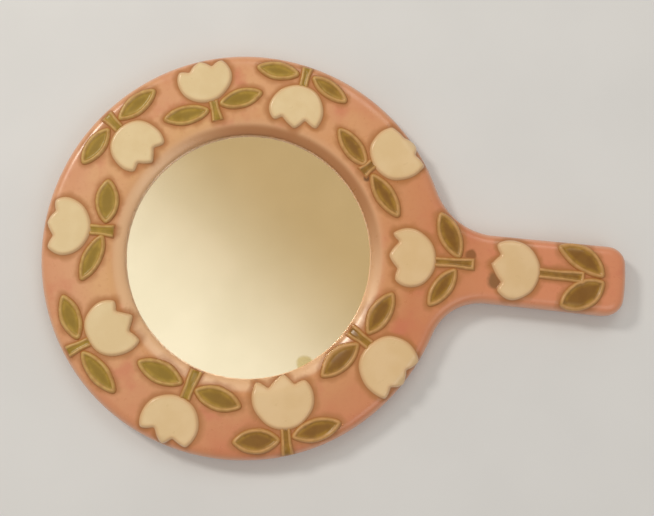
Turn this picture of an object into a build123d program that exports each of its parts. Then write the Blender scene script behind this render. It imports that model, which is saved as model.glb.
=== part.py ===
from build123d import *
import math
import os

# Glazed ceramic hand mirror, lying on its back with the glass facing up.
# Frame: millimetres, +Z up. The origin is on the back face, under the centre of the round head,
# and the handle runs along +X.

# ---------------------------------------------------------------- driving dimensions
HEAD_RADIUS = 82.5
BODY_THICKNESS = 11.0
FRONT_ROUND = 4.0            # rounding of the front edge, all the way round
BACK_ROUND = 2.5             # rounding of the edge it lies on

HANDLE_END = 154.5           # farthest point of the handle from the head's centre
HANDLE_END_BOW = 1.2         # how far the end face bows out
HANDLE_SIDE_END = HANDLE_END - HANDLE_END_BOW
HANDLE_SIDE_START = 70.0     # both side lines start inside the head
HANDLE_UPPER = (16.4, 14.0)  # Y of the +Y side at its start and at the end
HANDLE_LOWER = (-11.0, -14.4)
NECK_FILLET_UPPER = 27.0
NECK_FILLET_LOWER = 21.0
HANDLE_CORNER = 7.5

RECESS_CENTRE = (1.5, -0.3)  # the recess is a little off the head's centre
RECESS_RADIUS = 50.4
RECESS_FLOOR = 4.0
LIP_WIDTH = 7.0              # the soft inner lip, from the recess wall to the face of the ring
LIP_FOOT = 8.2               # height where the recess wall turns into the lip

ADHESIVE_RADIUS = 46.0
ADHESIVE_DEPTH = 0.8
MIRROR_RADIUS = 49.9
PAINT_DEPTH = 0.15
SILVER_DEPTH = 0.15
GLASS_DEPTH = 3.0
GLASS_BEVEL = 0.6

RIM_OVERLAP = 0.5            # how far the relief stands out where it wraps over the outer edge
FLOWER_RELIEF = 1.5
LEAF_RELIEF = 1.3
BASIN_RELIEF = 0.5           # floor of the glaze basins in leaves and stems
SPRIG_FOOT = 8.4             # lowest level that any applied piece reaches
SPRIG_REACH = 6.0            # tall enough to pass through the highest relief
PETAL_ROUND = 0.9
PETAL_BOW = 0.35
CHEEK_TURN = (0.69, 0.32)    # a point half way round the flower's base, as shares of the cheek's place
LEAF_POINT_ROUND = 0.7
LEAF_RIDGE = 1.4
STEM_RIDGE = 1.1
STEM_CORNER = 0.6
CHANNEL_CORNER = 0.4

# ---------------------------------------------------------------- the hand-laid tulips
# at: distance and bearing of the calyx, where stem and flower meet, from the head's centre.
# heading: the way the petals point. Everything else is in the tulip's own axes, X to its right and
# Y towards its petals: petals are left point, notch, middle point, notch, right point; cheeks are the
# widest points; stem is start, end, width; a leaf is root, tip, width and, where one of its sides
# bows out more than the other, how much further its left side reaches than half the width.
TULIPS = [
    dict(at=(64.5, 109), heading=100.5,
         petals=[(-9, 13), (-5, 12.5), (-0.5, 17), (4.5, 14), (8.5, 16.5)],
         cheeks=[(-10, 8.5), (12, 9.5)],
         stem=((3.5, 0), (4.5, -8), 3.4),
         left_leaf=((1.5, -3.5), (-17.5, -5.5), 7), right_leaf=((6, -1.5), (24, 1.5), 7)),
    dict(at=(73, 75.5), heading=-96,
         petals=[(-8.5, 16.5), (-3.5, 13.5), (0, 18), (6, 13.5), (9, 15.5)],
         cheeks=[(-10, 8.5), (11.5, 9.5)],
         stem=((-0.5, 0), (-1, -8), 3.2),
         left_leaf=((-3.5, -4.5), (-19, 3.5), 6), right_leaf=((2, -4.5), (19.5, -4.5), 6.5)),
    dict(at=(64, 39.5), heading=28,
         petals=[(-10.5, 13), (-4.5, 15.5), (0, 19), (3.5, 16.5), (9, 18.5)],
         cheeks=[(-9.5, 5.5), (10.5, 8)],
         stem=((0, 0), (1.5, -5.5), 4),
         left_leaf=((0, -3), (-19, -7), 7), right_leaf=((3.5, -2.5), (24, 0.5), 7)),
    dict(at=(77, 2.5), heading=178,
         petals=[(-9.5, 15), (-5, 14.5), (0, 18.5), (6, 14.5), (9, 18)],
         cheeks=[(-11.5, 7.5), (11.5, 10.5)],
         stem=((-0.5, 0), (0, -15.5), 3.6),
         left_leaf=((-2.5, -8.5), (-18.5, 1), 7), right_leaf=((2, -9.5), (19.5, 0), 8)),
    dict(at=(62.5, -31.5), heading=-45.5,
         petals=[(-10.5, 17.5), (-4.5, 16.5), (0, 20.5), (4.5, 17.5), (9, 20)],
         cheeks=[(-11, 6), (10.5, 7)],
         stem=((0, 0), (2, -9), 4),
         left_leaf=((-2, -4), (-20.5, -10), 8), right_leaf=((3, -3.5), (23, -3), 8)),
    dict(at=(72, -72.5), heading=95.5,
         petals=[(-11, 18.5), (-6, 16), (0, 21), (4.5, 17.5), (8.5, 19.5)],
         cheeks=[(-12.5, 12), (12, 11.5)],
         stem=((0.5, 0), (1, -10), 3.6),
         left_leaf=((-2, -4), (-20.5, -4.5), 9), right_leaf=((3, -3), (22.5, 2.5), 8)),
    dict(at=(62.5, -110.5), heading=-103.5,
         petals=[(-9.5, 18), (-3.5, 16), (0, 19.5), (4.5, 14), (10, 15.5)],
         cheeks=[(-11.5, 7.5), (11, 9)],
         stem=((-3.5, 0), (-4, -11), 4),
         left_leaf=((-6, -4.5), (-25.5, -3.5), 8.5), right_leaf=((-0.5, -5.5), (19, -8.5), 8)),
    dict(at=(70.5, -146.5), heading=33,
         petals=[(-9, 16), (-5, 14.5), (-0.5, 19), (4.5, 15.5), (10, 17.5)],
         cheeks=[(-10.5, 6.5), (10.5, 6.5)],
         stem=((0.5, 0), (0, -9.5), 3.6),
         left_leaf=((-2.5, -3.5), (-21, -1), 7.5), right_leaf=((2.5, -4.5), (23.5, -0.5), 7)),
    dict(at=(63, 174.5), heading=176,
         petals=[(-10, 15.5), (-5, 14), (0, 17.5), (5, 14.5), (9.5, 15.5)],
         cheeks=[(-12, 8), (11, 11)],
         stem=((-0.5, 0), (0, -9.5), 4),
         left_leaf=((-2, -5.5), (-21.5, 0), 7), right_leaf=((3, -6), (20.5, -4), 8.5)),
    dict(at=(72.5, 139), heading=-41.5,
         petals=[(-9, 17), (-4.5, 15), (0, 19.5), (4.5, 15), (8, 17)],
         cheeks=[(-10, 7), (9.5, 6)],
         stem=((0, 0), (0, -7.5), 4),
         left_leaf=((-2.5, -3), (-21.5, -1.5), 7), right_leaf=((3, -3), (20.5, 0), 7)),
    dict(at=(119, 0.5), heading=173.5,
         petals=[(-10, 15.5), (-6.5, 14), (0, 19.5), (4.5, 16), (8.5, 18.5)],
         cheeks=[(-12, 7.5), (11, 11)],
         stem=((0, 0), (1.4, -18), 3.8),
         left_leaf=((1, -26), (-11, -10.5), 10.5, 0.6), right_leaf=((3, -25.5), (12, -6), 8.7, -1.6)),
]

os.makedirs("parts", exist_ok=True)


# ---------------------------------------------------------------- ceramic body
def ceramic_form(growth, lift):
    """Head, handle and recess in one form. growth widens the outline and lift raises the front face,
    so the same form, a little larger, is the skin that the applied pieces are cut to."""
    front = BODY_THICKNESS + lift
    lip_foot = (RECESS_RADIUS, LIP_FOOT + lift)
    lip_crest = (RECESS_RADIUS + LIP_WIDTH, front)
    with BuildPart() as form:
        with BuildSketch() as outline:
            Circle(HEAD_RADIUS)
            with BuildLine():
                upper = Line((HANDLE_SIDE_START, HANDLE_UPPER[0]), (HANDLE_SIDE_END, HANDLE_UPPER[1]))
                lower = Line((HANDLE_SIDE_START, HANDLE_LOWER[0]), (HANDLE_SIDE_END, HANDLE_LOWER[1]))
                ThreePointArc(upper @ 1, (HANDLE_END, 0), lower @ 1)
                Line(upper @ 0, lower @ 0)
            make_face()
            necks = outline.vertices().filter_by(lambda v: abs(math.hypot(v.X, v.Y) - HEAD_RADIUS) < 0.01)
            fillet(necks.sort_by(Axis.Y)[-1], NECK_FILLET_UPPER)
            necks = outline.vertices().filter_by(lambda v: abs(math.hypot(v.X, v.Y) - HEAD_RADIUS) < 0.01)
            fillet(necks.sort_by(Axis.Y)[0], NECK_FILLET_LOWER)
            fillet(outline.vertices().sort_by(Axis.X)[-2:], HANDLE_CORNER)
            if growth > 0:
                offset(amount=growth)
        extrude(amount=front)
        fillet(form.faces().sort_by(Axis.Z)[-1].edges(), FRONT_ROUND + lift)
        fillet(form.faces().sort_by(Axis.Z)[0].edges(), BACK_ROUND)
        section = Plane(origin=(*RECESS_CENTRE, 0), x_dir=(1, 0, 0), z_dir=(0, -1, 0))
        with BuildSketch(section):
            with BuildLine():
                Polyline((0, front + 1), (0, RECESS_FLOOR), (RECESS_RADIUS, RECESS_FLOOR), lip_foot)
                TangentArc(lip_crest, lip_foot, tangent=(-1, 0))
                Polyline(lip_crest, (lip_crest[0], front + 1), (0, front + 1))
            make_face()
        revolve(axis=Axis((*RECESS_CENTRE, 0), (0, 0, 1)), mode=Mode.SUBTRACT)
    return form.part


with BuildPart() as ceramic_body:
    add(ceramic_form(growth=0, lift=0))
ceramic_body.part.label = "ceramic_body"
export_step(ceramic_body.part, "parts/ceramic_body.step")


# ---------------------------------------------------------------- mirror, from the recess floor up
def disc(label, bottom, radius, depth):
    """One round layer of the mirror, resting on the layer below it."""
    with BuildPart() as layer:
        with BuildSketch(Plane.XY.offset(bottom)):
            with Locations(RECESS_CENTRE):
                Circle(radius)
        extrude(amount=depth)
    layer.part.label = label
    export_step(layer.part, f"parts/{label}.step")
    return bottom + depth


adhesive_top = disc("adhesive_bed", RECESS_FLOOR, ADHESIVE_RADIUS, ADHESIVE_DEPTH)
paint_top = disc("backing_paint", adhesive_top, MIRROR_RADIUS, PAINT_DEPTH)
silver_top = disc("silver_coating", paint_top, MIRROR_RADIUS, SILVER_DEPTH)

with BuildPart() as mirror_glass:
    with BuildSketch(Plane.XY.offset(silver_top)):
        with Locations(RECESS_CENTRE):
            Circle(MIRROR_RADIUS)
    extrude(amount=GLASS_DEPTH)
    chamfer(mirror_glass.faces().sort_by(Axis.Z)[-1].edges(), GLASS_BEVEL)
mirror_glass.part.label = "mirror_glass"
export_step(mirror_glass.part, "parts/mirror_glass.step")


# ---------------------------------------------------------------- applied clay pieces
flower_skin = ceramic_form(growth=RIM_OVERLAP, lift=FLOWER_RELIEF)
leaf_skin = ceramic_form(growth=RIM_OVERLAP, lift=LEAF_RELIEF)
basin_skin = ceramic_form(growth=0, lift=BASIN_RELIEF)


def tulip_plane(tulip):
    """The tulip's own axes: origin at the calyx, Y along its heading."""
    distance, bearing = tulip["at"]
    x = distance * math.cos(math.radians(bearing))
    y = distance * math.sin(math.radians(bearing))
    turn = math.radians(tulip["heading"] - 90)
    return Plane(origin=(x, y, SPRIG_FOOT), x_dir=(math.cos(turn), math.sin(turn), 0), z_dir=(0, 0, 1))


def cheek_round(cheek):
    """A point on the round base of the flower, half way round from the calyx to the cheek."""
    return (CHEEK_TURN[0] * cheek[0], CHEEK_TURN[1] * cheek[1])


def flower_outline(plane, petals, cheeks):
    """Round base through both cheeks and the calyx, and three petal points with two notches."""
    base = [cheek_round(cheeks[0]), (0, 0), cheek_round(cheeks[1])]
    with BuildSketch(plane) as outline:
        with BuildLine():
            Spline(petals[0], cheeks[0], *base, cheeks[1], petals[4])
            for start, end in zip(petals, petals[1:]):
                SagittaArc(start, end, PETAL_BOW)
        make_face()
        fillet(outline.vertices(), PETAL_ROUND)
    return outline.sketch


def leaf_outline(plane, leaf, inset):
    """Lens between root and tip; inset moves it in, for the basin inside the ridge."""
    root, tip, width = leaf[:3]
    lean = leaf[3] if len(leaf) > 3 else 0
    with BuildSketch(plane) as outline:
        with BuildLine():
            SagittaArc(root, tip, width / 2 + lean)
            SagittaArc(tip, root, width / 2 - lean)
        make_face()
        fillet(outline.vertices(), LEAF_POINT_ROUND)
        if inset > 0:
            offset(amount=-inset)
    return outline.sketch


def stem_outline(plane, stem, inset):
    """Straight strip from the flower to its free end, with slightly rounded corners."""
    start, end, width = stem
    length = math.dist(start, end)
    middle = ((start[0] + end[0]) / 2, (start[1] + end[1]) / 2)
    lean = math.degrees(math.atan2(end[1] - start[1], end[0] - start[0]))
    corner = CHANNEL_CORNER if inset else STEM_CORNER
    with BuildSketch(plane) as outline:
        with Locations(Location((*middle, 0), (0, 0, lean))):
            RectangleRounded(length - 2 * inset, width - 2 * inset, corner)
    return outline.sketch


def basin(outline):
    """What is scooped out of a leaf or stem, down to the glaze basin's floor."""
    with BuildPart() as scoop:
        add(outline)
        extrude(amount=SPRIG_REACH)
        add(basin_skin, mode=Mode.SUBTRACT)
    return scoop.part


def applied_piece(label, outline, skin, scoop=None, neighbours=()):
    """A flat piece of clay that follows the front of the body and stops at its neighbours."""
    with BuildPart() as piece:
        add(outline)
        extrude(amount=SPRIG_REACH)
        add(skin, mode=Mode.INTERSECT)
        add(ceramic_body.part, mode=Mode.SUBTRACT)
        if scoop is not None:
            add(scoop, mode=Mode.SUBTRACT)
        for neighbour in neighbours:
            add(neighbour, mode=Mode.SUBTRACT)
    piece.part.label = label
    export_step(piece.part, f"parts/{label}.step")
    return piece.part


for number, tulip in enumerate(TULIPS, start=1):
    name = f"tulip_{number:02d}"
    plane = tulip_plane(tulip)
    flower_shape = flower_outline(plane, tulip["petals"], tulip["cheeks"])
    flower = applied_piece(f"{name}_flower", flower_shape, flower_skin)
    stem = applied_piece(f"{name}_stem", stem_outline(plane, tulip["stem"], 0), leaf_skin,
                         basin(stem_outline(plane, tulip["stem"], STEM_RIDGE)), [flower])
    left_leaf = applied_piece(f"{name}_left_leaf", leaf_outline(plane, tulip["left_leaf"], 0), leaf_skin,
                              basin(leaf_outline(plane, tulip["left_leaf"], LEAF_RIDGE)), [flower, stem])
    applied_piece(f"{name}_right_leaf", leaf_outline(plane, tulip["right_leaf"], 0), leaf_skin,
                  basin(leaf_outline(plane, tulip["right_leaf"], LEAF_RIDGE)), [flower, stem, left_leaf])
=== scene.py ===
import math
import bmesh
import bpy
import numpy as np
from mathutils import Matrix, Vector
from mathutils.bvhtree import BVHTree
from mathutils.kdtree import KDTree


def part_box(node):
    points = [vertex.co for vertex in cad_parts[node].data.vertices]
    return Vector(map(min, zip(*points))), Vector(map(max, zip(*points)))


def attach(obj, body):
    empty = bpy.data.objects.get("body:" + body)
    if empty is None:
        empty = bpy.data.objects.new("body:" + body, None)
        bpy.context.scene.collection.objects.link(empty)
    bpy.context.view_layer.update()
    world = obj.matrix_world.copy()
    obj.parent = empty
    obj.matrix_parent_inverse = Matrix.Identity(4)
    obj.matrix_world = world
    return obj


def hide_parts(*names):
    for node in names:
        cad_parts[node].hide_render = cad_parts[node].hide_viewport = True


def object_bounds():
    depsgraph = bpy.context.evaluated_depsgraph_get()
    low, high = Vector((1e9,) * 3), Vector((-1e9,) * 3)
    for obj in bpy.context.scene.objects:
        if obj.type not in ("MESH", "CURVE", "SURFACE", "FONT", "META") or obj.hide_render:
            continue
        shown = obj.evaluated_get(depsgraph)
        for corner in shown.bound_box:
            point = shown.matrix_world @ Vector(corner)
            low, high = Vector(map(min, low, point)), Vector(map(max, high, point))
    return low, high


# Looks of the glazed ceramic hand mirror. The CAD frame gives every place; shapes are worked out in
# millimetres in that frame and turned into metres when a mesh is made.

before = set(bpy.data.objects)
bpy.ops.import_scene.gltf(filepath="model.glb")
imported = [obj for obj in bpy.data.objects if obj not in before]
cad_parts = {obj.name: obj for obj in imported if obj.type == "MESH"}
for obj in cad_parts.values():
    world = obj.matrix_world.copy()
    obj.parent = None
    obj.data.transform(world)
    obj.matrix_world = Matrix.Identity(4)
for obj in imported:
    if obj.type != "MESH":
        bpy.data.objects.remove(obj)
cad_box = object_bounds()

MM = 0.001
TULIP_COUNT = 11                 # ten clockwise round the ring, then one on the handle
TULIP_PIECES = ("flower", "stem", "left_leaf", "right_leaf")
NECK_TULIPS = (4, 11)            # these two lie on the neck and handle, away from the round rim

# ---------------------------------------------------------------- measures of the frame, in millimetres
body_low, body_high = (np.array(corner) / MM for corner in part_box("ceramic_body"))
glass_low, glass_high = (np.array(corner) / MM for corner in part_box("mirror_glass"))
cad_low, cad_high = (np.array(corner) / MM for corner in cad_box)

FRONT = body_high[2]                             # height of the ring's flat face
HEAD_RADIUS = (body_high[1] - body_low[1]) / 2
GLASS_CENTRE = (glass_low[:2] + glass_high[:2]) / 2
GLASS_RADIUS = (glass_high[0] - glass_low[0]) / 2
WALL_RADIUS = GLASS_RADIUS + 0.5                 # the recess wall round the glass
LIP_WIDTH = 7.0
LIP_DROP = 2.8                                   # from the ring's face to the foot of the lip
LIP_FOOT = FRONT - LIP_DROP
LIP_ARC = (LIP_WIDTH ** 2 + LIP_DROP ** 2) / (2 * LIP_DROP)
RIM_ROUND = 4.0                                  # rounding of the front edge
ROUND_START = HEAD_RADIUS - RIM_ROUND
NECK_START = ROUND_START * math.cos(math.radians(20))    # past this X the rim runs into the neck

# ---------------------------------------------------------------- the clay and glaze, in millimetres
BODY_VOXEL = 0.8
BODY_SMOOTHING = 5               # passes of smoothing over the remeshed body
GRID = 0.42                      # spacing of the points of a tulip's mesh
FLARE = 1.15                     # glaze creeps this far out from under each applied piece
SINK = 0.12                      # the flare's edge lies this far under the body's surface
ROOT = 0.45                      # and the piece's own underside this far
RIM_LIMIT = math.asin(0.937)     # applied pieces end at this angle of the rim's rounding
WALL_MARGIN = 0.45               # and this far short of the recess wall
FLOWER_HEIGHT = 1.1
FLOWER_SHOULDER = (-0.75, 0.9)   # depths inside the outline between which the flower's edge rises
FLOWER_CROWN = 0.08              # rise from the shoulder to the middle of a flower
LEAF_HEIGHT = 1.05
LEAF_RIDGE = (-1.1, 0.35)        # depths between which a leaf's ridge rises
LEAF_HOLLOW = (0.4, 1.4)         # and between which it falls to the basin
LEAF_BASIN = 0.75                # depth of the basin under the leaf's ridge
STEM_HEIGHT = 0.95
STEM_RIDGE = (-0.75, 0.6)        # depths between which a stem's ridges rise
STEM_HOLLOW = (0.5, 1.4)         # and between which they fall to the channel
STEM_END = (-0.5, 0.4)           # depths over which the channel runs out at the stem's ends
STEM_BASIN = 0.6
STEM_FLARE = 0.4                 # a stem widens this much towards its free end, on each side
EDGE_WAVER = 0.12                # unevenness of the pieces' hand-cut edges
FOOT_CREEP = 0.82                # glaze at the lip's foot runs in this far, over the glass's edge
GLASS_GAP = 0.03                 # between the glass and the silver
GLASS_BEVEL = 0.04               # radius of the rounding of the glass's top edge
GLASS_STEPS = 256
WOBBLE = 0.3                     # unevenness of the hand-made outline
SWELL = 0.07                     # unevenness of the ring's face


def smoothstep(low, high, value):
    """Soft step from 0 at low to 1 at high."""
    t = np.clip((value - low) / (high - low), 0, 1)
    return t * t * (3 - 2 * t)


# ---------------------------------------------------------------- the body's surface
def unroll(points):
    """Plan points with the head's rounded rim rolled out flat, so that lengths on it stay true."""
    radius = np.linalg.norm(points, axis=1)
    over = np.clip((radius - ROUND_START) / RIM_ROUND, 0, math.sin(RIM_LIMIT))
    flat = np.where(radius > ROUND_START, ROUND_START + RIM_ROUND * np.arcsin(over), radius)
    return points * (flat / np.maximum(radius, 1e-6))[:, None]


def head_surface(flat):
    """Points and normals of the head's face at unrolled plan points: ring, lip and rounded rim."""
    radius = np.linalg.norm(flat, axis=1)
    outward = flat / np.maximum(radius, 1e-6)[:, None]
    angle = np.clip((radius - ROUND_START) / RIM_ROUND, 0, math.pi / 2)
    plan_radius = np.where(radius > ROUND_START, ROUND_START + RIM_ROUND * np.sin(angle), radius)
    plan = outward * plan_radius[:, None]
    from_glass = plan - GLASS_CENTRE
    reach = np.linalg.norm(from_glass, axis=1)
    inward = -from_glass / reach[:, None]
    lean = np.clip((WALL_RADIUS + LIP_WIDTH - reach) / LIP_ARC, 0, 0.9)
    height = FRONT - RIM_ROUND * (1 - np.cos(angle)) - LIP_ARC * (1 - np.sqrt(1 - lean ** 2))
    sideways = outward * np.sin(angle)[:, None] + inward * lean[:, None]
    upright = np.cos(angle) * np.sqrt(1 - lean ** 2)
    return np.column_stack([plan, height]), np.column_stack([sideways, upright])


def cast_surface(flat, tree):
    """Points and normals of the body straight below plan points, or nearest to them beyond its edge.
    Used on the neck and handle."""
    points = np.empty((len(flat), 3))
    normals = np.empty((len(flat), 3))
    for i, (x, y) in enumerate(flat):
        place, normal = tree.ray_cast(Vector((x, y, FRONT + 5)), Vector((0, 0, -1)))[:2]
        if place is None or place.z < FRONT - RIM_ROUND:
            place, normal = tree.find_nearest(Vector((x, y, FRONT - RIM_ROUND)))[:2]
        points[i] = place
        normals[i] = normal
    return points, normals


def hand_made(points):
    """The small unevenness of a hand-made piece, and the glaze that creeps in at the lip's foot. Past
    the creep the recess stays true to the glass, and the back stays flat."""
    x, y, z = points.T
    reach = np.hypot(x - GLASS_CENTRE[0], y - GLASS_CENTRE[1])
    away = smoothstep(WALL_RADIUS, WALL_RADIUS + 14, reach)
    shift_x = np.sin(y / 23 + 0.6) + 0.6 * np.sin(x / 15 + y / 37 + 2.1) - x / HEAD_RADIUS
    shift_y = np.sin(x / 27 + 1.9) + 0.6 * np.sin(y / 17 - x / 33 + 0.4) - y / HEAD_RADIUS
    creep = FOOT_CREEP * smoothstep(WALL_RADIUS + 4, WALL_RADIUS, reach)
    x = x - creep * (x - GLASS_CENTRE[0]) / np.maximum(reach, 1)
    y = y - creep * (y - GLASS_CENTRE[1]) / np.maximum(reach, 1)
    rise = np.sin(x / 13 + 0.7) * np.sin(y / 16 + 1.1) + 0.5 * np.sin(x / 7 + y / 9) - 0.6
    moved = np.column_stack([
        x + 0.5 * WOBBLE * away * shift_x,
        y + 0.5 * WOBBLE * away * shift_y,
        z + SWELL * away * rise * smoothstep(2, 8, z),
    ])
    return np.clip(moved, cad_low, cad_high)


# ---------------------------------------------------------------- outlines of the applied pieces
def plan_outline(node):
    """Outer boundary of a CAD piece seen from above, as an evenly spaced closed line."""
    built = bmesh.new()
    built.from_mesh(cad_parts[node].data)
    bmesh.ops.remove_doubles(built, verts=built.verts, dist=1e-6)
    built.normal_update()
    top = {face.index for face in built.faces if face.normal.z > 0.1}
    neighbours = {}
    for edge in built.edges:
        if sum(face.index in top for face in edge.link_faces) == 1:
            for vert, other in (edge.verts, reversed(edge.verts)):
                neighbours.setdefault(vert.index, []).append(other.index)
    built.verts.ensure_lookup_table()
    places = {index: np.array(built.verts[index].co.xy) / MM for index in neighbours}
    built.free()
    loops = []
    while neighbours:
        start = next(iter(neighbours))
        loop, current = [start], start
        while neighbours.get(current):
            following = neighbours[current].pop()
            neighbours[following].remove(current)
            loop.append(following)
            current = following
        neighbours = {index: rest for index, rest in neighbours.items() if rest}
        loops.append(np.array([places[index] for index in loop[:-1]]))
    return even_loop(max(loops, key=lambda points: abs(loop_area(points))))


def loop_area(points):
    """Area inside a closed line, negative where it runs clockwise."""
    x, y = points.T
    return 0.5 * float(np.sum(x * np.roll(y, -1) - np.roll(x, -1) * y))


def even_loop(points, spacing=0.5):
    """The same closed line with evenly spaced points, softened a little."""
    closed = np.vstack([points, points[:1]])
    along = np.concatenate([[0], np.cumsum(np.linalg.norm(np.diff(closed, axis=0), axis=1))])
    steps = np.linspace(0, along[-1], int(along[-1] / spacing) + 1)[:-1]
    even = np.column_stack([np.interp(steps, along, closed[:, axis]) for axis in (0, 1)])
    return (np.roll(even, 1, axis=0) + 2 * even + np.roll(even, -1, axis=0)) / 4


def depth_inside(points, outline):
    """Distance from each point to the outline, positive inside it."""
    start, end = outline, np.roll(outline, -1, axis=0)
    side = end - start
    away = points[:, None] - start[None]
    along = np.clip((away * side).sum(2) / (side ** 2).sum(1), 0, 1)
    distance = np.linalg.norm(away - along[..., None] * side, axis=2).min(1)
    x, y = points[:, 0, None], points[:, 1, None]
    spans = (start[:, 1] > y) != (end[:, 1] > y)
    rise = np.where(side[:, 1] == 0, 1e-12, side[:, 1])
    crossing = start[:, 0] + (y - start[:, 1]) * side[:, 0] / rise
    inside = (spans & (x < crossing)).sum(1) % 2 == 1
    return np.where(inside, distance, -distance)


# ---------------------------------------------------------------- meshes
def new_piece(name, points, faces, attributes):
    """A smooth mesh object from points in millimetres, with its named values on the points."""
    mesh = bpy.data.meshes.new(name)
    mesh.from_pydata((points * MM).tolist(), [], faces)
    mesh.polygons.foreach_set("use_smooth", [True] * len(mesh.polygons))
    for key, values in attributes.items():
        mesh.attributes.new(key, "FLOAT", "POINT").data.foreach_set("value", values.astype(np.float32))
    mesh.update()
    piece = bpy.data.objects.new(name, mesh)
    bpy.context.scene.collection.objects.link(piece)
    return piece


def grid_over(outline):
    """Triangular grid of points over an outline and its flare, with their depth inside the outline."""
    low = outline.min(0) - FLARE - GRID
    high = outline.max(0) + FLARE + GRID
    row_gap = GRID * math.sqrt(3) / 2
    rows = int((high[1] - low[1]) / row_gap) + 2
    columns = int((high[0] - low[0]) / GRID) + 2
    row, column = np.mgrid[0:rows, 0:columns]
    x = low[0] + GRID * (column + 0.5 * (row % 2))
    y = low[1] + row_gap * row
    points = np.column_stack([x.ravel(), y.ravel()])
    number = row * columns + column
    here, right = number[:-1, :-1], number[:-1, 1:]
    above, above_right = number[1:, :-1], number[1:, 1:]
    odd = row[:-1, :-1] % 2 == 1
    first = np.stack([here, right, np.where(odd, above_right, above)], 2)
    second = np.stack([np.where(odd, here, right), above_right, above], 2)
    triangles = np.concatenate([first.reshape(-1, 3), second.reshape(-1, 3)])
    return points, triangles, depth_inside(points, outline)


def flower_profile(depth):
    """Height over the body: a soft shoulder, then a nearly flat face with a slight crown."""
    shoulder = (FLOWER_HEIGHT + SINK) * smoothstep(*FLOWER_SHOULDER, depth)
    return shoulder + FLOWER_CROWN * smoothstep(1, 8, depth) - SINK


def leaf_profile(depth):
    """A rounded ridge along the outline round a hollow that holds the green glaze."""
    ridge = (LEAF_HEIGHT + SINK) * smoothstep(*LEAF_RIDGE, depth)
    return ridge - LEAF_BASIN * smoothstep(*LEAF_HOLLOW, depth) - SINK


def stem_profile(depth, from_side):
    """Ridges along the stem's sides, with a channel between them."""
    ridge = (STEM_HEIGHT + SINK) * smoothstep(*STEM_RIDGE, depth)
    hollow = STEM_BASIN * smoothstep(*STEM_HOLLOW, from_side) * smoothstep(*STEM_END, depth)
    return ridge - hollow - SINK


def stem_depths(flat, outline, calyx, closed):
    """Depth inside a stem that flares away from the flower, and depth from its ridges: its two long
    sides and, on a closed stem, its free end."""
    middle = outline.mean(0)
    spread = np.linalg.svd(outline - middle, full_matrices=False)[2]
    along, across = spread[0], spread[1]
    if np.dot(calyx - middle, along) > 0:
        along = -along
    length, width = np.ptp(outline @ along), np.ptp(outline @ across)
    place = (flat - middle) @ along
    flare = STEM_FLARE * smoothstep(-0.1 * length, 0.5 * length, place)
    from_side = width / 2 + flare - np.abs((flat - middle) @ across)
    depth = np.minimum(from_side, length / 2 - np.abs(place))
    return depth, np.minimum(from_side, length / 2 - place) if closed else from_side


def applied_piece(number, kind, outline, calyx, tree):
    """One flower, stem or leaf, as a closed form that grows out of the body's surface."""
    flat, triangles, depth = grid_over(outline)
    from_side = depth
    if kind == "stem":
        depth, from_side = stem_depths(flat, outline, calyx, number in NECK_TULIPS)
    uneven = EDGE_WAVER * np.sin(flat[:, 0] / 1.9 + number) * np.sin(flat[:, 1] / 2.3 + 2 * number)
    depth = depth + uneven * smoothstep(3, 0, np.abs(depth))
    reach = np.linalg.norm(flat - GLASS_CENTRE, axis=1)
    depth = np.minimum(depth, reach - WALL_RADIUS - WALL_MARGIN)
    outside_recess = reach > WALL_RADIUS - 0.02
    kept = (depth > -FLARE) & outside_recess
    triangles = triangles[kept[triangles].all(1)]
    used = np.unique(triangles)
    flat, depth, from_side = flat[used], depth[used], from_side[used]
    triangles = np.searchsorted(used, triangles)
    if number in NECK_TULIPS:
        points, normals = cast_surface(flat, tree)
    else:
        points, normals = head_surface(flat)
    if kind == "stem":
        height = stem_profile(depth, from_side)
    else:
        height = (flower_profile if kind == "flower" else leaf_profile)(depth)
    height = height * (0.3 + 0.7 * np.clip(normals[:, 2], 0, 1))
    top = hand_made(points + normals * height[:, None])
    values = {"inside": depth, "from_side": from_side}
    piece = new_piece(f"glazed_tulip_{number:02d}_{kind}", top, triangles.tolist(), values)
    close_underside(piece, normals)
    return piece


def close_underside(piece, normals):
    """Turns the open sheet into a closed form, with its underside just inside the body."""
    built = bmesh.new()
    built.from_mesh(piece.data)
    built.verts.ensure_lookup_table()
    border = [edge for edge in built.edges if edge.is_boundary]
    rim = {vert for edge in border for vert in edge.verts}
    down = {vert.co.copy().freeze(): -ROOT * MM * Vector(normals[vert.index]) for vert in rim}
    skirt = bmesh.ops.extrude_edge_only(built, edges=border)["geom"]
    for vert in (part for part in skirt if isinstance(part, bmesh.types.BMVert)):
        vert.co += down[vert.co.copy().freeze()]
    foot = [part for part in skirt if isinstance(part, bmesh.types.BMEdge)]
    bmesh.ops.holes_fill(built, edges=foot, sides=0)
    bmesh.ops.triangulate(built, faces=[face for face in built.faces if len(face.verts) > 4])
    bmesh.ops.recalc_face_normals(built, faces=built.faces)
    built.to_mesh(piece.data)
    built.free()
    piece.data.polygons.foreach_set("use_smooth", [True] * len(piece.data.polygons))


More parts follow.
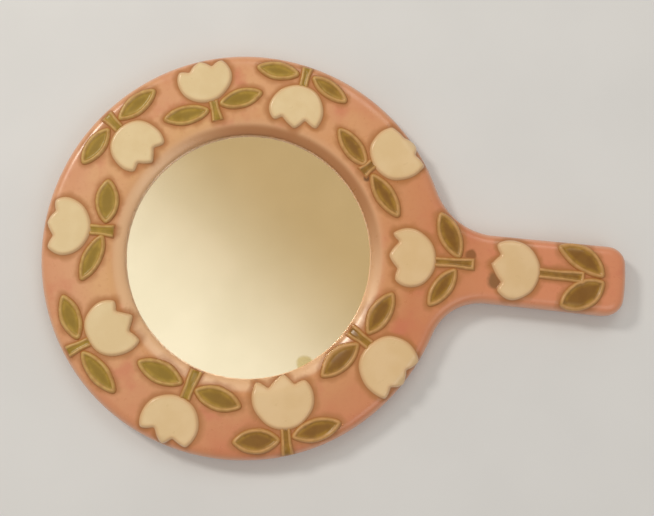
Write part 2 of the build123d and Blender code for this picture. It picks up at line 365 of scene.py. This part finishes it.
def even_body():
    """The CAD body as an even, softened mesh: its points in millimetres, its faces and its normals."""
    rough = bpy.data.objects.new("rough_body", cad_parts["ceramic_body"].data.copy())
    bpy.context.scene.collection.objects.link(rough)
    remesh = rough.modifiers.new("even", "REMESH")
    remesh.mode = "VOXEL"
    remesh.voxel_size = BODY_VOXEL * MM
    soften = rough.modifiers.new("soften", "SMOOTH")
    soften.factor = 0.5
    soften.iterations = BODY_SMOOTHING
    graph = bpy.context.evaluated_depsgraph_get()
    mesh = bpy.data.meshes.new_from_object(rough.evaluated_get(graph), depsgraph=graph)
    bpy.data.objects.remove(rough)
    points = np.array([vert.co for vert in mesh.vertices]) / MM
    normals = np.array([vert.normal for vert in mesh.vertices])
    faces = [tuple(face.vertices) for face in mesh.polygons]
    return points, faces, normals


def distance_to_outlines(points, outlines):
    """How far each body point is from the nearest applied piece, along the surface."""
    plan = points[:, :2]
    on_head = plan[:, 0] < NECK_START
    flat = np.where(on_head[:, None], unroll(plan), plan)
    below = np.clip(FRONT - RIM_ROUND - points[:, 2], 0, None)
    marks = np.vstack(outlines)
    tree = KDTree(len(marks))
    for i, (x, y) in enumerate(marks):
        tree.insert((x, y, 0), i)
    tree.balance()
    nearest = np.array([tree.find((x, y, 0))[2] for x, y in flat])
    return np.hypot(nearest, below)


def glass_disc():
    """The mirror's glass: a turned disc with its edges eased, a hair clear of the silver under it."""
    low, high = glass_low[2] + GLASS_GAP, glass_high[2]
    bevel = []
    for turn in np.linspace(0, math.pi / 2, 5):
        across, up = 1 - math.cos(turn), 1 - math.sin(turn)
        bevel.append((GLASS_RADIUS - GLASS_BEVEL * across, high - GLASS_BEVEL * up))
    profile = [(GLASS_RADIUS - 0.2, low), (GLASS_RADIUS, low + 0.2), *bevel]
    profile += [(radius, high) for radius in (GLASS_RADIUS - 3, GLASS_RADIUS / 2, 2.0)]
    steps = np.linspace(0, 2 * math.pi, GLASS_STEPS, endpoint=False)
    middle_x, middle_y = GLASS_CENTRE
    points = []
    for radius, z in profile:
        points += [(middle_x + radius * math.cos(a), middle_y + radius * math.sin(a), z) for a in steps]
    faces = []
    for ring in range(len(profile) - 1):
        for step in range(GLASS_STEPS):
            following = (step + 1) % GLASS_STEPS
            here, above = ring * GLASS_STEPS, (ring + 1) * GLASS_STEPS
            faces.append((here + step, here + following, above + following, above + step))
    last = (len(profile) - 1) * GLASS_STEPS
    faces.append(tuple(range(last, last + GLASS_STEPS)))
    faces.append(tuple(reversed(range(GLASS_STEPS))))
    glass = new_piece("float_glass", np.array(points), faces, {})
    for face in glass.data.polygons:
        face.use_smooth = 0.1 < face.normal.z < 0.99
    return glass


def glazed_body(points, faces, normals, outlines):
    """The body's visible mesh, with what its glaze needs to know on its points: the distance to the
    relief, and how far each point belongs to the rim's edge, the lip, the recess wall and so on."""
    height, upright = points[:, 2], normals[:, 2]
    radius = np.linalg.norm(points[:, :2], axis=1)
    reach = np.linalg.norm(points[:, :2] - GLASS_CENTRE, axis=1)
    lip_end = WALL_RADIUS + LIP_WIDTH
    near_glass = smoothstep(lip_end + 2, lip_end - 1, reach)
    below_foot = smoothstep(LIP_FOOT - 0.1, LIP_FOOT - 0.6, height)
    past_foot = smoothstep(WALL_RADIUS, WALL_RADIUS + 3, reach)
    attributes = {
        "near_relief": distance_to_outlines(points, outlines),
        "thin_edge": smoothstep(0.97, 0.55, upright) * (1 - near_glass),
        "lip": smoothstep(lip_end, WALL_RADIUS + 0.5, reach),
        # how far each point lies on the recess wall below the lip's foot, which gets pale painted light
        "wall": below_foot * smoothstep(WALL_RADIUS + 2, WALL_RADIUS + 1, reach),
        "outward": smoothstep(lip_end, HEAD_RADIUS - 2, radius),
        "lip_crest": near_glass * smoothstep(0.99, 0.93, upright) * past_foot,
    }
    return new_piece("glazed_body", hand_made(points), faces, attributes)


# ---------------------------------------------------------------- materials
def srgb(red, green, blue):
    """Linear colour from the usual 0 to 255 values."""
    values = [channel / 255 for channel in (red, green, blue)]
    return [v / 12.92 if v <= 0.04045 else ((v + 0.055) / 1.055) ** 2.4 for v in values] + [1]


POOLED = srgb(174, 114, 62)      # where the glaze gathers round the relief
SPILLS = (                       # where brown glaze ran out on to the pink: x, y, radius, colour
    (47.2, 34.5, 1.7, srgb(116, 74, 36)),
    (91.0, 6.4, 2.4, srgb(150, 94, 50)),
    (101.6, -3.2, 3.4, srgb(144, 98, 56)),
)
PAINTED_REFLECTION_SPOT = (27.2, -41.4, 3.4)     # x, y, radius of a painted reflection in the silver: a greenish patch by the rim
REDDER_WAY = (0.8, -0.6)         # the direction in which the glazes of the ring grow redder


class Finish:
    """A material built from nodes, one short call per node."""

    def __init__(self, name):
        self.material = bpy.data.materials.new(name)
        self.material.use_nodes = True
        self.nodes = self.material.node_tree.nodes
        self.links = self.material.node_tree.links
        self.surface = self.nodes["Principled BSDF"]
        self.place = self.add("ShaderNodeTexCoord").outputs["Object"]

    def add(self, kind, **settings):
        node = self.nodes.new(kind)
        for key, value in settings.items():
            setattr(node, key, value)
        return node

    def put(self, value, socket):
        """Links a node's output to a socket, or sets the socket to a plain value."""
        if isinstance(value, bpy.types.NodeSocket):
            self.links.new(value, socket)
        else:
            socket.default_value = value

    def value(self, name):
        return self.add("ShaderNodeAttribute", attribute_name=name).outputs["Fac"]

    def noise(self, size, detail=3.0, roughness=0.5, seed=0.0):
        """Smooth noise from 0 to 1 whose features are about size millimetres across."""
        node = self.add("ShaderNodeTexNoise", noise_dimensions="4D")
        self.put(self.place, node.inputs["Vector"])
        node.inputs["W"].default_value = seed
        node.inputs["Scale"].default_value = 1 / (size * MM)
        node.inputs["Detail"].default_value = detail
        node.inputs["Roughness"].default_value = roughness
        return node.outputs["Fac"]

    def ramp(self, value, low, high, to_low=0.0, to_high=1.0):
        """Soft step of a value, from low to high."""
        node = self.add("ShaderNodeMapRange", interpolation_type="SMOOTHSTEP")
        for socket, number in zip(node.inputs[:5], (value, low, high, to_low, to_high)):
            self.put(number, socket)
        return node.outputs["Result"]

    def along(self, direction, low, high):
        """Soft step across the object, from low to high millimetres along a direction in plan."""
        node = self.add("ShaderNodeVectorMath", operation="DOT_PRODUCT")
        self.put(self.place, node.inputs[0])
        node.inputs[1].default_value = (*direction, 0)
        return self.ramp(node.outputs["Value"], low * MM, high * MM)

    def spot(self, x, y, radius):
        """1 inside a soft, uneven spot at a place in plan, in millimetres, and 0 outside it."""
        plan = self.add("ShaderNodeVectorMath", operation="MULTIPLY")
        self.put(self.place, plan.inputs[0])
        plan.inputs[1].default_value = (1, 1, 0)
        node = self.add("ShaderNodeVectorMath", operation="DISTANCE")
        self.put(plan.outputs["Vector"], node.inputs[0])
        node.inputs[1].default_value = (x * MM, y * MM, 0)
        uneven = self.ramp(self.noise(4.0, 2.0, seed=x), 0.3, 0.7, -0.15, 0.15)
        reach = self.math("DIVIDE", node.outputs["Value"], radius * MM)
        return self.ramp(self.math("ADD", reach, uneven), 1.2, 0.6)

    def math(self, operation, first, second=0.0):
        node = self.add("ShaderNodeMath", operation=operation)
        self.put(first, node.inputs[0])
        self.put(second, node.inputs[1])
        return node.outputs["Value"]

    def mix(self, amount, first, second):
        node = self.add("ShaderNodeMix", data_type="RGBA")
        self.put(amount, node.inputs[0])
        self.put(first, node.inputs[6])
        self.put(second, node.inputs[7])
        return node.outputs[2]

    def mottle(self, first, second, size, detail, low, high, amount=1.0, roughness=0.5, seed=0.0):
        """Two colours mixed by noise: the second shows where the noise passes from low to high."""
        noise = self.noise(size, detail, roughness, seed)
        return self.mix(self.ramp(noise, low, high, 0, amount), first, second)

    def bump(self, height, strength, distance, under=None):
        node = self.add("ShaderNodeBump")
        node.inputs["Strength"].default_value = strength
        node.inputs["Distance"].default_value = distance * MM
        self.put(height, node.inputs["Height"])
        if under is not None:
            self.put(under, node.inputs["Normal"])
        return node.outputs["Normal"]

    def show(self, **looks):
        """Sets inputs of the surface by name, such as Base_Color, and returns the finished material."""
        for name, value in looks.items():
            self.put(value, self.surface.inputs[name.replace("_", " ")])
        return self.material

    def glaze(self, colour, roughness=0.32, coat=0.45):
        """The glassy coat of all the fired pieces: soft waves, fine orange peel, a bright skin."""
        waves = self.bump(self.noise(7.0, 1.0), 0.22, 0.35)
        peel = self.bump(self.noise(0.9, 2.0, seed=3.0), 0.10, 0.05, waves)
        dulled = self.ramp(self.noise(4.0), 0.3, 0.7, roughness - 0.05, roughness + 0.07)
        return self.show(Base_Color=colour, Roughness=dulled, Normal=peel,
                         Coat_Normal=peel, Coat_Weight=coat, Coat_Roughness=0.19)


def pink_glaze():
    """Salmon glaze, yellower by the mirror and redder by the rim and towards the handle. It thins to
    pale on edges and pools red-brown round the relief. The foot of the lip has painted shading: painted
    shade over pooled brown glaze on the upper side, pale painted light on the lower side. The recess
    wall under the glass is coloured pale as painted light."""
    finish = Finish("pink_glaze")
    across = finish.along(REDDER_WAY, -50, 62)
    pale = finish.mix(across, srgb(223, 172, 126), srgb(208, 140, 98))
    deep = finish.mix(across, srgb(219, 162, 122), srgb(204, 126, 88))
    clouded = finish.mottle(deep, pale, 24, 2.0, 0.38, 0.62)
    yellower = finish.ramp(finish.value("outward"), 0.0, 0.6, 0.35, 0.0)
    redder = finish.ramp(finish.value("outward"), 0.5, 1.0, 0.0, 0.2)
    ring = finish.mix(redder, finish.mix(yellower, clouded, srgb(218, 172, 118)), srgb(208, 124, 92))
    pink = finish.mix(finish.along((1, 0), 86, 106), ring, srgb(218, 142, 104))
    blotched = finish.mottle(pink, srgb(206, 120, 92), 12, 3.0, 0.52, 0.74, 0.65, seed=5.0)
    speckled = finish.mottle(blotched, srgb(190, 112, 78), 1.6, 4.0, 0.5, 0.8, 0.25, 0.6, 2.0)
    thinned = finish.math("MULTIPLY", finish.value("thin_edge"), 0.5)
    edged = finish.mix(thinned, speckled, srgb(222, 172, 142))
    crest = finish.math("MULTIPLY", finish.value("lip_crest"), 0.6)
    crested = finish.mix(crest, edged, srgb(230, 184, 144))
    # Painted shading at the foot of the lip: painted shade over pooled brown glaze on the upper side,
    # pale painted light on the lower side.
    painted_shade_side = finish.along((0.42, 0.91), 8, 48)
    foot_pool_and_painted_shading = finish.mix(painted_shade_side, srgb(232, 190, 148), srgb(166, 110, 62))
    footed = finish.mix(finish.ramp(finish.value("lip"), 0.35, 0.85, 0, 0.85), crested, foot_pool_and_painted_shading)
    width = finish.ramp(finish.noise(5.0, 2.0, seed=8.0), 0.3, 0.7, 2.4, 4.2)
    pool = finish.ramp(finish.math("DIVIDE", finish.value("near_relief"), width), 1.0, 0.12, 0, 0.92)
    pooled = finish.mix(pool, footed, POOLED)
    # Painted light: the recess wall under the glass is coloured pale, as if lit through the glass.
    colour = finish.mix(finish.value("wall"), pooled, srgb(246, 190, 136))
    for x, y, radius, spilt in SPILLS:
        colour = finish.mix(finish.spot(x, y, radius), colour, spilt)
    return finish.glaze(colour)


def cream_glaze():
    """Opaque cream, finely mottled, that thins to tan at the shoulder and meets the pink's pool."""
    finish = Finish("cream_glaze")
    inside = finish.value("inside")
    across = finish.along(REDDER_WAY, -50, 62)
    dull = finish.mix(across, srgb(226, 204, 160), srgb(224, 194, 148))
    bright = finish.mix(across, srgb(231, 211, 169), srgb(229, 200, 157))
    cream = finish.mottle(dull, bright, 9, 2.0, 0.35, 0.65)
    mottled = finish.mottle(cream, srgb(222, 186, 136), 1.2, 3.0, 0.55, 0.85, 0.3, 0.6, 4.0)
    tinted = finish.mix(finish.ramp(inside, 2.0, 0.0, 0, 0.5), mottled, srgb(214, 164, 114))
    return finish.glaze(finish.mix(finish.ramp(inside, 0.1, -0.45), tinted, POOLED))


def green_glaze(name, edge_depth, ridge_depth, basin_depth):
    """Green that thins to tan on the ridges and pools olive in the hollows, browner towards the
    handle. The depths, in millimetres, are those of the piece's edge, ridge and basin."""
    finish = Finish(name)
    inside, from_side = finish.value("inside"), finish.value("from_side")
    browner = finish.along((0.95, -0.25), -14, 34)
    middle = finish.mix(browner, srgb(139, 111, 20), srgb(122, 79, 9))
    olive = finish.mix(browner, srgb(175, 143, 52), srgb(166, 124, 36))
    clouded = finish.mottle(olive, middle, 3.5, 3.0, 0.35, 0.65, 0.65, seed=2.0)
    deepest = finish.ramp(from_side, basin_depth - 0.2, basin_depth + 1.6, 0, 0.8)
    basin = finish.mix(deepest, clouded, middle)
    thin = finish.mix(browner, srgb(200, 164, 96), srgb(202, 154, 96))
    ridge = finish.mottle(thin, srgb(186, 142, 80), 2.5, 2.0, 0.35, 0.7, seed=6.0)
    green = finish.mix(finish.ramp(from_side, ridge_depth, basin_depth), ridge, basin)
    edge = finish.ramp(inside, edge_depth, edge_depth - 0.7)
    return finish.glaze(finish.mix(edge, green, POOLED), 0.36, 0.15)


def mirror_glass():
    """Clear float glass, faintly smeared."""
    finish = Finish("float_glass")
    clear = srgb(255, 254, 251)
    smear = finish.ramp(finish.noise(11, 4.0, 0.6), 0.45, 0.8, 0.0, 0.02)
    return finish.show(Base_Color=clear, Transmission_Weight=1.0, IOR=1.5, Roughness=smear)


def silver_coating():
    """Bright silver with one painted reflection: a greenish patch by the rim."""
    finish = Finish("silver_coating")
    bright = finish.mottle(srgb(244, 242, 236), srgb(238, 236, 228), 30, 2.0, 0.3, 0.7)
    # Painted reflection: a greenish patch in the silver by the rim.
    painted_reflection = finish.math("MULTIPLY", finish.spot(*PAINTED_REFLECTION_SPOT), 0.75)
    tone = finish.mix(painted_reflection, bright, srgb(204, 190, 128))
    dulled = finish.ramp(finish.noise(20, 2.0, seed=3.0), 0.4, 0.8, 0.012, 0.03)
    return finish.show(Base_Color=tone, Metallic=1.0, Roughness=dulled)


def backing_paint():
    """Grey paint, slightly rough."""
    finish = Finish("backing_paint")
    grey = finish.mottle(srgb(98, 102, 108), srgb(118, 122, 126), 4, 4.0, 0.35, 0.65)
    grain = finish.bump(finish.noise(0.8, 3.0), 0.3, 0.05)
    return finish.show(Base_Color=grey, Roughness=0.6, Normal=grain)


def adhesive():
    """Off-white adhesive, spread unevenly."""
    finish = Finish("adhesive")
    tone = finish.mottle(srgb(206, 200, 188), srgb(190, 182, 166), 8, 3.0, 0.35, 0.65)
    spread = finish.bump(finish.noise(3.0, 2.0), 0.5, 0.3)
    return finish.show(Base_Color=tone, Roughness=0.45, Normal=spread)


def floor_finish():
    finish = Finish("pale_floor")
    pale = finish.mottle(srgb(224, 228, 234), srgb(220, 224, 230), 60, 3.0, 0.3, 0.7)
    grain = finish.bump(finish.noise(0.7, 2.0), 0.15, 0.05)
    return finish.show(Base_Color=pale, Roughness=0.75, Normal=grain)


def clad(piece, material):
    """Gives an object its one material."""
    piece.data.materials.clear()
    piece.data.materials.append(material)


# ---------------------------------------------------------------- build the object
def build_object():
    points, faces, normals = even_body()
    tree = BVHTree.FromPolygons(points.tolist(), faces)
    finishes = {
        "flower": (cream_glaze(), "cream_glaze"),
        "stem": (green_glaze("green_glaze_stem", 0.3, 0.75, 1.25), "green_glaze"),
        "left_leaf": (green_glaze("green_glaze_leaf", -0.1, 0.5, 1.4), "green_glaze"),
    }
    finishes["right_leaf"] = finishes["left_leaf"]
    outlines = []
    for number in range(1, TULIP_COUNT + 1):
        for kind in TULIP_PIECES:
            node = f"tulip_{number:02d}_{kind}"
            outline = plan_outline(node)
            if number not in NECK_TULIPS:
                outline = unroll(outline)
            if kind == "flower":
                calyx = outline.mean(0)
            outlines.append(outline)
            piece = applied_piece(number, kind, outline, calyx, tree)
            material, slot = finishes[kind]
            clad(piece, material)
            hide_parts(node)
            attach(piece, "root")
    body = glazed_body(points, faces, normals, outlines)
    clad(body, pink_glaze())
    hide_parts("ceramic_body")
    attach(body, "root")
    glass = glass_disc()
    clad(glass, mirror_glass())
    glass.visible_shadow = False     # so the lamps light the recess wall through it
    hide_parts("mirror_glass")
    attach(glass, "root")
    clad(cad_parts["silver_coating"], silver_coating())
    clad(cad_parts["backing_paint"], backing_paint())
    clad(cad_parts["adhesive_bed"], adhesive())


# ---------------------------------------------------------------- floor, light and camera, in metres
CAMERA_ROLL = math.radians(4.2)  # the handle points this much below level in the picture
CAMERA_TILT = math.radians(6)    # the camera stands this much off straight above, on the -Y side
CAMERA_DISTANCE = 0.45
CAMERA_LENS = 61.13
AIM_HEIGHT = 0.007
AIM_SHIFT = Vector((-0.0026, 0.0013, 0))
FLOOR_HALF = 12.0
CARD_HALF = 0.33
CARD_PLACE = (-0.077, 0.10, 1.0)
CARD_GLOW = 1.07


def add_square(name, half, place, material):
    """A square sheet that faces up, half metres from its middle to each side."""
    mesh = bpy.data.meshes.new(name)
    corners = [(-half, -half, 0), (half, -half, 0), (half, half, 0), (-half, half, 0)]
    mesh.from_pydata(corners, [], [(0, 1, 2, 3)])
    square = bpy.data.objects.new(name, mesh)
    square.location = place
    bpy.context.scene.collection.objects.link(square)
    clad(square, material)
    return square


def lay_floor():
    floor = add_square("floor", FLOOR_HALF, (0, 0, -0.0001), floor_finish())


def add_light(name, place, size, energy, colour, aim=(0.03, 0, 0)):
    """A round area light, aimed at the middle of the object."""
    light = bpy.data.lights.new(name, "AREA")
    light.shape = "DISK"
    light.size = size
    light.energy = energy
    light.color = colour
    lamp = bpy.data.objects.new(name, light)
    lamp.location = place
    lamp.rotation_euler = (Vector(aim) - Vector(place)).to_track_quat("-Z", "Y").to_euler()
    bpy.context.scene.collection.objects.link(lamp)


def hang_card():
    """A glowing studio card over the table, dimmer towards one corner. The mirror shows it, and the
    camera doesn't see it directly."""
    finish = Finish("card")
    dimmer = finish.along((0.63, 0.77), -150, 100)
    tone = finish.mix(dimmer, srgb(255, 244, 218), srgb(197, 170, 126))
    glow = finish.add("ShaderNodeEmission")
    finish.put(tone, glow.inputs["Color"])
    finish.put(CARD_GLOW, glow.inputs["Strength"])
    finish.put(glow.outputs["Emission"], finish.nodes["Material Output"].inputs["Surface"])
    card = add_square("card", CARD_HALF, CARD_PLACE, finish.material)
    card.visible_camera = False


def light_studio():
    world = bpy.data.worlds.new("studio")
    world.use_nodes = True
    background = world.node_tree.nodes["Background"]
    background.inputs["Color"].default_value = (1.0, 0.93, 0.84, 1)
    background.inputs["Strength"].default_value = 0.455
    bpy.context.scene.world = world
    add_light("key", (-0.56, 0.42, 0.70), 0.20, 3.2, (1.0, 0.92, 0.80))
    add_light("window", (0.15, 0.60, 0.80), 0.5, 1.3, (1.0, 0.94, 0.84))
    add_light("fill", (0.55, -0.45, 0.9), 0.6, 1.2, (1.0, 0.95, 0.88))


def place_camera():
    level_up = Vector((-math.sin(CAMERA_ROLL), math.cos(CAMERA_ROLL), 0))
    right = Vector((math.cos(CAMERA_ROLL), math.sin(CAMERA_ROLL), 0))
    back = Vector((0, 0, math.cos(CAMERA_TILT))) - level_up * math.sin(CAMERA_TILT)
    up = level_up * math.cos(CAMERA_TILT) + Vector((0, 0, math.sin(CAMERA_TILT)))
    middle = (cad_box[0] + cad_box[1]) / 2
    aim = Vector((middle.x, middle.y, AIM_HEIGHT)) + AIM_SHIFT
    data = bpy.data.cameras.new("camera")
    data.lens = CAMERA_LENS
    data.sensor_width = 36
    data.clip_start = 0.01
    camera = bpy.data.objects.new("camera", data)
    turn = Matrix((right, up, back)).transposed()
    camera.matrix_world = Matrix.Translation(aim + back * CAMERA_DISTANCE) @ turn.to_4x4()
    bpy.context.scene.collection.objects.link(camera)
    bpy.context.scene.camera = camera


build_object()
lay_floor()
hang_card()
light_studio()
place_camera()
bpy.context.scene.view_settings.view_transform = "Standard"
